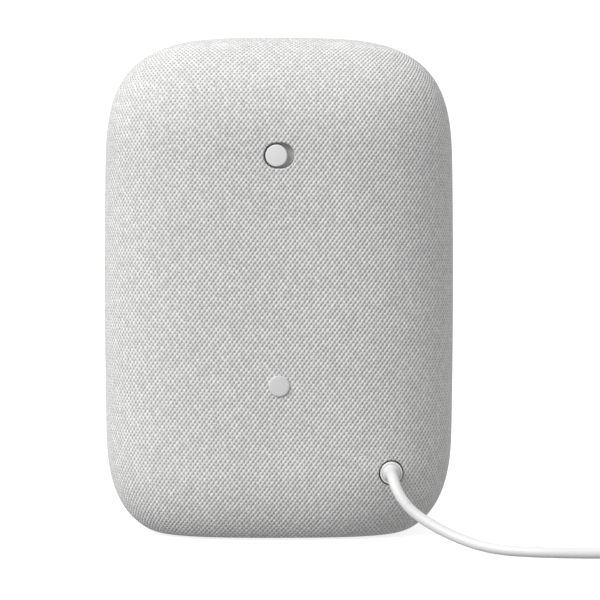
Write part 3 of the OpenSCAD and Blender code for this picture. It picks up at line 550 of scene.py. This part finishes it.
class Cover:
    """Points, faces, normals and weave charts of the whole sleeve, before it is parted into panels.

    Ring points run from the +X side round by the back, the other side and the front. A chart gives
    millimetres across and up the cloth.
    """

    def __init__(self):
        self.quarter_mid = quarter_section(BODY_W / 2, BODY_D / 2, 2)[2]
        self.count = round(self.quarter_mid / COLUMN_STEP)
        self.columns = 4 * self.count
        self.rings = self.ring_list()
        self.split_row = int(np.argmin([abs(z - BODY_H / 2) for z, _, _ in self.rings]))
        self.build_rings()
        self.faces = []
        for index, face in enumerate(ring_faces(len(self.rings), self.columns)):
            row, column = divmod(index, self.columns)
            self.faces.append((face, row >= self.split_row, column < 2 * self.count))

    def ring_list(self):
        """(height, inset, scale) of each ring: the hem under the base, its bend, the wall and the top."""
        fold = HEM_REACH + FABRIC_T
        rings = [(HEM_Z + FABRIC_T, fold, 1.0), (HEM_Z + 0.4 * MM, fold + 0.2 * MM, 1.0)]
        rings += [(HEM_Z, 0.4 * MM + HEM_REACH * share, 1.0) for share in (1.0, 0.8, 0.6, 0.4, 0.25)]
        bend = ((0, 1.3), (0.1, 0.7), (0.4, 0.3), (0.9, 0.1))
        rings += [(HEM_Z + rise * MM, inset * MM, 1.0) for rise, inset in bend]
        self.hem_rings = len(rings)
        rings += [(z, 0.0, 1.0) for z in wall_heights()]
        return rings + [(BODY_H, 0.0, scale) for scale in TOP_SHARES]

    def build_rings(self):
        """Points of every ring, the outline up the middle of the back, and the charts of both faces."""
        n = self.count
        rings, around, outline = [], [], []
        for z, inset, scale in self.rings:
            reach_x = (half_width(z) - inset) * scale
            reach_y = (half_depth(z) - inset) * scale
            x, y, quarter = quarter_section(reach_x, reach_y, n)
            outline.append((reach_y, z))
            ring_x = np.concatenate([x[:n], -x[:0:-1], -x[:n], x[:0:-1]])
            ring_y = np.concatenate([y[:n], y[:0:-1], -y[:n], -y[:0:-1]])
            rings.append(np.column_stack([ring_x, ring_y, np.full(self.columns, z)]))
            around.append(quarter)
        outline = np.array(outline)
        self.climb = np.concatenate([[0], np.cumsum(np.linalg.norm(np.diff(outline, axis=0), axis=1))])
        self.outline_y, self.outline_z = outline[:, 0], outline[:, 1]
        self.apex = self.climb[-1] + self.outline_y[-1]
        self.points = np.vstack(rings)
        from_back = (np.arange(self.columns) - n) / n
        from_front = from_back - 2
        from_front[0] = 1.0  # the front ends where the ring closes, at its first point
        self.across_back = np.outer(around, from_back).ravel()
        self.across_front = (2 * self.quarter_mid + np.outer(around, from_front)).ravel()
        self.up = np.repeat(self.climb, self.columns)

    def across_at(self, x, z):
        """Distance round the cloth from the middle of the back to x, at height z, towards -X."""
        ring_x, _, quarter = quarter_section(half_width(z), half_depth(z), SECTION_STEPS)
        travel = np.linspace(0, quarter, SECTION_STEPS + 1)
        return -math.copysign(quarter - np.interp(abs(x), ring_x[::-1], travel[::-1]), x)

    def up_at(self, z):
        """Distance up the cloth from its hem's inner edge to height z on the wall."""
        wall = slice(self.hem_rings, len(self.rings) - len(TOP_SHARES))
        return np.interp(z, self.outline_z[wall], self.climb[wall])

    def top_chart(self):
        """The cloth over the top, laid out flat from the back's middle line."""
        top = slice(int(np.argmax(self.outline_z > BODY_H - TOP_DROP_Y)), None)
        y, climb = self.outline_y[top][::-1], self.climb[top][::-1]
        up = np.interp(np.abs(self.points[:, 1]), y, climb)
        return -self.points[:, 0], np.where(self.points[:, 1] >= 0, up, 2 * self.apex - up)

    def add_loop(self, previous, loop, chart, upper):
        """Adds a ring of points, joined to the previous ring by quads."""
        first = len(self.points)
        ids = list(range(first, first + len(loop)))
        self.points = np.vstack([self.points, loop])
        across = [self.across_at(x, z) for x, z in chart]
        self.across_back = np.concatenate([self.across_back, across])
        self.across_front = np.concatenate([self.across_front, across])
        self.up = np.concatenate([self.up, [self.up_at(z) for _, z in chart]])
        for i in range(len(ids)):
            k = (i + 1) % len(ids)
            self.faces.append(((previous[i], previous[k], ids[k], ids[i]), upper, True))
        return ids

    def cut_hole(self, centre, outline):
        """Opens a hole in the back. Rings of quads lead from the grid to the outline and into the lip."""
        centre = np.array(centre)
        grid = self.points[: len(self.rings) * self.columns].reshape(len(self.rings), self.columns, 3)
        edge = np.array([outline(a) for a in np.linspace(0, 2 * math.pi, 60)])
        low, high = edge.min(0) - HOLE_MARGIN, edge.max(0) + HOLE_MARGIN
        middle = int(np.argmin(np.abs(self.outline_z - centre[1])))
        beside = grid[middle, : 2 * self.count, 0] - centre[0]
        columns = np.nonzero((beside > low[0]) & (beside < high[0]))[0]
        above = self.outline_z - centre[1]
        rows = np.nonzero((above > low[1]) & (above < high[1]))[0]
        c0, c1, r0, r1 = columns[0], columns[-1], rows[0], rows[-1]
        gone = {int(j * self.columns + i) for j in range(r0, r1) for i in range(c0, c1)}
        self.faces = [f for f in self.faces if f[0][0] not in gone]
        border = [(r0, i) for i in range(c0, c1)] + [(j, c1) for j in range(r0, r1)]
        border += [(r1, i) for i in range(c1, c0, -1)] + [(j, c0) for j in range(r1, r0, -1)]
        border = [int(j * self.columns + i) for j, i in border]
        start = self.points[border][:, [0, 2]] - centre
        rim = np.array([outline(math.atan2(z, x)) for x, z in start])
        outward = rim / np.linalg.norm(rim, axis=1)[:, None]
        upper = bool(r0 >= self.split_row)
        previous = border
        for share in (0.3, 0.55, 0.78, 1.0):
            flat = start * (1 - share) + (rim + outward * LIP_R) * share + centre
            loop = np.column_stack([flat[:, 0], back_y(flat[:, 0], flat[:, 1]), flat[:, 1]])
            previous = self.add_loop(previous, loop, flat, upper)
        rim_y = loop[:, 1]
        turns = np.radians((22.5, 45, 67.5, 90))
        bend = [(LIP_R * (1 - math.sin(a)), LIP_R * (1 - math.cos(a))) for a in turns]
        for out, depth in bend + [(0.0, LIP_DEPTH / 2), (0.0, LIP_DEPTH)]:
            flat = rim + outward * out + centre
            loop = np.column_stack([flat[:, 0], rim_y - depth, flat[:, 1]])
            previous = self.add_loop(previous, loop, flat - outward * depth, upper)

    def normals(self):
        """Smooth normals of the whole sleeve, so that no seam shows between its panels."""
        quads = np.array([f[0] for f in self.faces])
        p = self.points
        face_normals = np.cross(p[quads[:, 2]] - p[quads[:, 0]], p[quads[:, 3]] - p[quads[:, 1]])
        total = np.zeros_like(p)
        for corner_ids in quads.T:
            np.add.at(total, corner_ids, face_normals)
        return total / np.maximum(np.linalg.norm(total, axis=1), 1e-12)[:, None]

    def panel(self, name, upper, back, normals, top_chart):
        """One quarter of the sleeve as an object, with the whole sleeve's normals and its weave charts."""
        faces = [f for f, is_upper, is_back in self.faces if (is_upper, is_back) == (upper, back)]
        used = sorted({i for f in faces for i in f})
        number = {old: new for new, old in enumerate(used)}
        piece = mesh_object(name, self.points[used], [tuple(number[i] for i in f) for f in faces])
        piece.data.normals_split_custom_set_from_vertices([tuple(v) for v in normals[used]])
        across = (self.across_back if back else self.across_front)[used]
        share = smoothstep(normals[used, 2], TOP_FROM, TOP_BLEND)
        sides = np.column_stack([across / MM, self.up[used] / MM, share])
        over = np.column_stack([top_chart[0][used] / MM, top_chart[1][used] / MM, np.zeros(len(used))])
        for attribute, values in (("weave", sides), ("weave_top", over)):
            layer = piece.data.attributes.new(attribute, "FLOAT_VECTOR", "POINT")
            layer.data.foreach_set("vector", values.astype(np.float32).ravel())
        return piece


def circle(radius):
    return lambda a: (radius * math.cos(a), radius * math.sin(a))


def stadium(radius, half):
    """Outline of a slot with round ends along X, as a function of the direction from its middle."""

    def point(a):
        c, s = math.cos(a), math.sin(a)
        if abs(c) * radius <= half * abs(s):
            return (c / abs(s) * radius, math.copysign(radius, s))
        t = half * abs(c) + math.sqrt(max(radius**2 - (half * s) ** 2, 0))
        return (t * c, t * s)

    return point


def make_cover(cover):
    """Cuts the holes for the slot and the plug, and parts the sleeve into four panels."""
    slot_low, slot_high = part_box("switch_bezel")
    hole_r = (slot_high.z - slot_low.z) / 2 - BEZEL_RIM
    well_half = (slot_high.x - slot_low.x) / 2 - BEZEL_RIM - hole_r
    plug_low, plug_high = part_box("dc_plug")
    plug_r = (plug_high.x - plug_low.x) / 2
    cover.cut_hole((0, (slot_low.z + slot_high.z) / 2), stadium(hole_r, well_half))
    plug_centre = (plug_low + plug_high) / 2
    cover.cut_hole((plug_centre.x, plug_centre.z), circle(plug_r + PLUG_GAP))
    normals, top_chart = cover.normals(), cover.top_chart()
    for level, upper in (("upper", True), ("lower", False)):
        for side, back in (("back", True), ("front", False)):
            piece = cover.panel(f"cover_{side}_{level}", upper, back, normals, top_chart)
            finish_piece(piece, "speaker", "knit_fabric", "fabric_cover")


# ---- Small pieces on the back ----


def make_knob():
    """Round cap on a thinner stem, with a soft edge and a faint crown."""
    low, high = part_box("mute_knob")
    radius = (high.x - low.x) / 2
    top = high.y - low.y
    edge, crown, stem_r, head_h, chamfer = 0.45 * MM, 0.12 * MM, 1.5 * MM, 2.5 * MM, 0.2 * MM
    shoulder = top - head_h
    profile = [(0, 0), (stem_r, 0), (stem_r, shoulder)]
    profile += [(radius - chamfer, shoulder), (radius, shoulder + chamfer)]
    profile += arc((radius - edge, top - crown - edge), edge, 0, 80, 8)
    profile += [(radius - edge - 0.3 * MM, top - crown * 1.1), (radius * 0.5, top - crown * 0.35), (0, top)]
    centre = ((low.x + high.x) / 2, low.y, (low.z + high.z) / 2)
    finish_piece(lathe("mute_slider_knob", profile, centre), "mute_slider", "knob_plastic", "mute_knob")


def make_badge():
    """Plain round badge with a soft edge and a faint crown. It carries no mark."""
    low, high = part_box("emblem_badge")
    radius = (high.x - low.x) / 2
    top = high.y - low.y
    edge, crown = 0.35 * MM, 0.08 * MM
    profile = [(0, 0), (radius, 0)]
    profile += arc((radius - edge, top - crown - edge), edge, 0, 80, 8)
    profile += [(radius * 0.75, top - crown / 2), (radius * 0.4, top - crown / 8), (0, top)]
    centre = ((low.x + high.x) / 2, low.y, (low.z + high.z) / 2)
    finish_piece(lathe("badge", profile, centre), "speaker", "badge_plastic", "emblem_badge")


def make_plug():
    """Round head with a hollow barrel in front of it, which goes into the inlet."""
    low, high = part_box("dc_plug")
    radius = (high.x - low.x) / 2
    length = high.y - low.y
    barrel_r, bore_r, head_h = 2.75 * MM, 1.25 * MM, 5.6 * MM
    tip_chamfer, chamfer, edge = 0.2 * MM, 0.3 * MM, 0.55 * MM
    shoulder = length - head_h
    bore_end = shoulder - 2 * MM
    profile = [(0, bore_end), (bore_r, bore_end), (bore_r, 0)]
    profile += [(barrel_r - tip_chamfer, 0), (barrel_r, tip_chamfer), (barrel_r, shoulder)]
    profile += [(radius - chamfer, shoulder), (radius, shoulder + chamfer)]
    profile += arc((radius - edge, length - edge), edge, 0, 85, 8)
    profile += [(radius * 0.75, length - 0.04 * MM), (radius * 0.55, length), (0, length)]
    centre = ((low.x + high.x) / 2, low.y, (low.z + high.z) / 2)
    return finish_piece(lathe("power_plug", profile, centre), "power_lead", "white_plastic", "dc_plug")


def make_relief():
    """Boot that flares onto the plug's face and thins until its end sinks into the cord."""
    path = catmull_rom(metres(LEAD_ROUTE[: RELIEF_POINTS + 1]), 8)
    travel = np.concatenate([[0], np.cumsum(np.linalg.norm(np.diff(path, axis=0), axis=1))])
    flare, fade, taper, sink = 1.2 * MM, 1.1 * MM, 0.3 * MM, 0.05 * MM
    radii = CORD_D / 2 + flare * np.exp(-travel / fade) + taper - (taper + sink) * travel / travel[-1]
    relief = tube("strain_relief_boot", path, radii, 40)
    return finish_piece(relief, "power_lead", "cord_jacket", "strain_relief")


# ---- Cord, its tie and the adapter ----


def make_tie():
    """Hook-and-loop strap round the coil: a flat band with softened edges."""
    low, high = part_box("cord_tie")
    centre, reach = (low + high) / 2, (high - low) / 2
    half_t, bend, soft = 0.375 * MM, 2.4 * MM, 0.2 * MM
    loop = []
    for sy, sz, start in ((1, 1, 0), (-1, 1, 90), (-1, -1, 180), (1, -1, 270)):
        middle = (sy * (reach.y - half_t - bend), sz * (reach.z - half_t - bend))
        loop += arc(middle, bend, start, start + 90, 8)
    edge_x = reach.x - soft
    section = [(reach.x, 0), (edge_x, half_t), (-edge_x, half_t)]
    section += [(-x, -o) for x, o in section]
    points = []
    for i, (y, z) in enumerate(loop):
        along = np.array(loop[(i + 1) % len(loop)]) - np.array(loop[i - 1])
        out = np.array([along[1], -along[0]]) / np.linalg.norm(along)
        points += [(centre.x + x, centre.y + y + o * out[0], centre.z + z + o * out[1]) for x, o in section]
    sides, last = len(section), (len(loop) - 1) * len(section)
    faces = ring_faces(len(loop), sides)
    for i in range(sides):
        k = (i + 1) % sides
        faces.append((last + i, last + k, k, i))
    tie = mesh_object("cord_strap", points, faces)
    return finish_piece(tie, "power_lead", "black_rubber", "cord_tie")


def rounded_box(name, low, high, radius, edge, groove_z):
    """Case with round upright corners of that radius, soft edges and a parting groove round it.

    A narrow band beside each bend keeps the flat faces evenly shaded.
    """
    depth, half, slope, band = 0.3 * MM, 0.22 * MM, 0.08 * MM, 0.25 * MM
    steps = 6
    angles = np.radians(np.linspace(0, 90, steps + 1))
    bend = [(0.0, edge + band)] + [(edge * (1 - math.cos(a)), edge * (1 - math.sin(a))) for a in angles]
    bend.append((edge + band, 0.0))
    groove = [(-half - band, 0.0), (-half, 0.0), (slope - half, depth)]
    levels = [(low.z + rise, inset) for rise, inset in bend]
    levels += [(groove_z + rise, inset) for rise, inset in groove]
    levels += [(groove_z - rise, inset) for rise, inset in groove[::-1]]
    levels += [(high.z - rise, inset) for rise, inset in bend[::-1]]
    centre, reach = (low + high) / 2, (high - low) / 2
    points, sides = [], 4 * (steps + 1)
    for z, inset in levels:
        r = radius - inset
        for quadrant, (sx, sy) in enumerate(((1, 1), (-1, 1), (-1, -1), (1, -1))):
            corner_at = (centre.x + sx * (reach.x - inset - r), centre.y + sy * (reach.y - inset - r))
            points += [(x, y, z) for x, y in arc(corner_at, r, 90 * quadrant, 90 * quadrant + 90, steps)]
    faces = ring_faces(len(levels), sides)
    faces.append(tuple(range(sides))[::-1])
    faces.append(tuple(range((len(levels) - 1) * sides, len(levels) * sides)))
    return mesh_object(name, points, faces)


def make_adapter():
    """Case with a parting groove, two flat blades and a collar where the cord goes in."""
    low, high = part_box("wall_adapter")
    blade_l, blade_w, blade_h, gap = 17 * MM, 1.5 * MM, 6.3 * MM, 12.7 * MM
    low.y += blade_l
    case = rounded_box("adapter_case", low, high, 6 * MM, 3 * MM, low.z + (high.z - low.z) * 0.62)
    finish_piece(case, "power_lead", "white_plastic", "wall_adapter")
    middle = (low + high) / 2
    pieces = [case]
    for name, side in (("blade_left", -1), ("blade_right", 1)):
        x = middle.x + side * gap / 2
        rings, taper = [], ((0.4, 1.0), (-0.85, 1.0), (-0.96, 0.8), (-1.0, 0.45))
        for share, size in taper:
            w, h = blade_w / 2 * size, blade_h / 2 * (0.85 + 0.15 * size)
            y = low.y + blade_l * share
            rings += [(x + sx * w, y, middle.z + sz * h) for sx, sz in ((-1, -1), (1, -1), (1, 1), (-1, 1))]
        faces = ring_faces(len(taper), 4)
        faces += [(3, 2, 1, 0), tuple(range(len(rings) - 4, len(rings)))]
        blade = mesh_object(f"adapter_{name}", rings, faces, smooth=False)
        pieces.append(finish_piece(blade, "power_lead", "steel"))
    entry = np.array(metres([TAIL_ROUTE[-1]]))[0]
    collar_shape = ((-1.5, 3.4), (0.5, 3.4), (1.5, 3.0), (3, 2.5), (5, 2.1), (6, 1.95))
    path = [entry + (0, out * MM, 0) for out, _ in collar_shape]
    collar = tube("adapter_cord_collar", path, [r * MM for _, r in collar_shape], 32)
    pieces.append(finish_piece(collar, "power_lead", "white_plastic"))
    return pieces


def make_cord():
    """One run of cord from the boot through the coil to the adapter, with all that hangs on it."""
    low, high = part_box("cord_coil")
    lead = metres(LEAD_ROUTE[RELIEF_POINTS - 1 :])
    turns = coil_points(((low.x + high.x) / 2, (low.y + high.y) / 2))
    points = lead + turns + metres(TAIL_ROUTE)
    curve = bpy.data.curves.new("power_cord", "CURVE")
    curve.dimensions = "3D"
    curve.bevel_depth = CORD_D / 2
    curve.bevel_resolution = 4
    curve.resolution_u = 5
    curve.use_fill_caps = True
    spline = curve.splines.new("BEZIER")
    spline.bezier_points.add(len(points) - 1)
    for knot, point in zip(spline.bezier_points, points):
        knot.co = point
        knot.handle_left_type = knot.handle_right_type = "AUTO"
    cord = bpy.data.objects.new("power_cord", curve)
    bpy.context.scene.collection.objects.link(cord)
    finish_piece(cord, "power_lead", "cord_jacket", "cord_lead", "cord_coil", "cord_tail")
    pieces = [make_plug(), make_relief(), make_tie(), *make_adapter()]


# ---- Stage and light ----

KEY_POWER, KEY_FROM, KEY_SPREAD = 2.9, (0.62, 0.47, 0.62), 38
FILL_ABOVE, FILL_BELOW = 0.77, 0.34
HORIZON = 0.15
BACKDROP = 1.2
FLOOR_REACH = 6.0


def floor_material():
    n = Nodes("pale_floor")
    speckle = n.noise(n.position(), 40, 3.0)
    return n.surface(
        Base_Color=n.mix_colour(speckle, grey(0.38), grey(0.42)),
        Roughness=0.9,
        Specular_IOR_Level=0.1,
        Emission_Color=grey(1.0),
        Emission_Strength=0.78,
    )


def make_stage():
    corners = [(x * FLOOR_REACH, y * FLOOR_REACH, 0) for x, y in ((-1, -1), (1, -1), (1, 1), (-1, 1))]
    floor = mesh_object("floor", corners, [(0, 1, 2, 3)], smooth=False)
    floor.data.materials.append(floor_material())
    floor.visible_diffuse = False


def make_light():
    """A broad key from the upper left of the view, in a room that is paler above than below."""
    key = bpy.data.objects.new("key", bpy.data.lights.new("key", "SUN"))
    bpy.context.scene.collection.objects.link(key)
    key.data.energy = KEY_POWER
    key.data.angle = math.radians(KEY_SPREAD)
    key.rotation_euler = Vector(KEY_FROM).to_track_quat("Z", "Y").to_euler()
    world = bpy.data.worlds.new("soft_white")
    bpy.context.scene.world = world
    world.use_nodes = True
    nodes, link = world.node_tree.nodes, world.node_tree.links.new
    direction = nodes.new("ShaderNodeSeparateXYZ")
    link(nodes.new("ShaderNodeTexCoord").outputs["Generated"], direction.inputs[0])
    room = nodes.new("ShaderNodeMapRange")
    link(direction.outputs["Z"], room.inputs["Value"])
    room.inputs["From Min"].default_value = -HORIZON
    room.inputs["From Max"].default_value = HORIZON
    room.inputs["To Min"].default_value = FILL_BELOW
    room.inputs["To Max"].default_value = FILL_ABOVE
    backdrop = nodes.new("ShaderNodeMix")
    link(nodes.new("ShaderNodeLightPath").outputs["Is Camera Ray"], backdrop.inputs[0])
    link(room.outputs[0], backdrop.inputs[2])
    backdrop.inputs[3].default_value = BACKDROP
    link(backdrop.outputs[0], nodes["Background"].inputs["Strength"])
    nodes["Background"].inputs["Color"].default_value = grey(1.0)
    bpy.context.scene.view_settings.view_transform = "Standard"


# ---- Build ----

make_camera()
cover = Cover()
lap, rise = 4 * cover.quarter_mid / MM, 2 * cover.apex / MM
stitches, courses = round(lap / WEAVE_W / 2) * 2, round(rise / WEAVE_H)
materials = make_materials(lap / stitches, rise / courses, lap)
make_cord()
make_cover(cover)
make_knob()
make_badge()
slot_of = {part["node"]: part["material_slot"] for part in frame["record"]["subparts"]}
for name, node in frame["nodes"].items():
    node.data.materials.clear()
    node.data.materials.append(materials[slot_of[name]])
make_stage()
make_light()
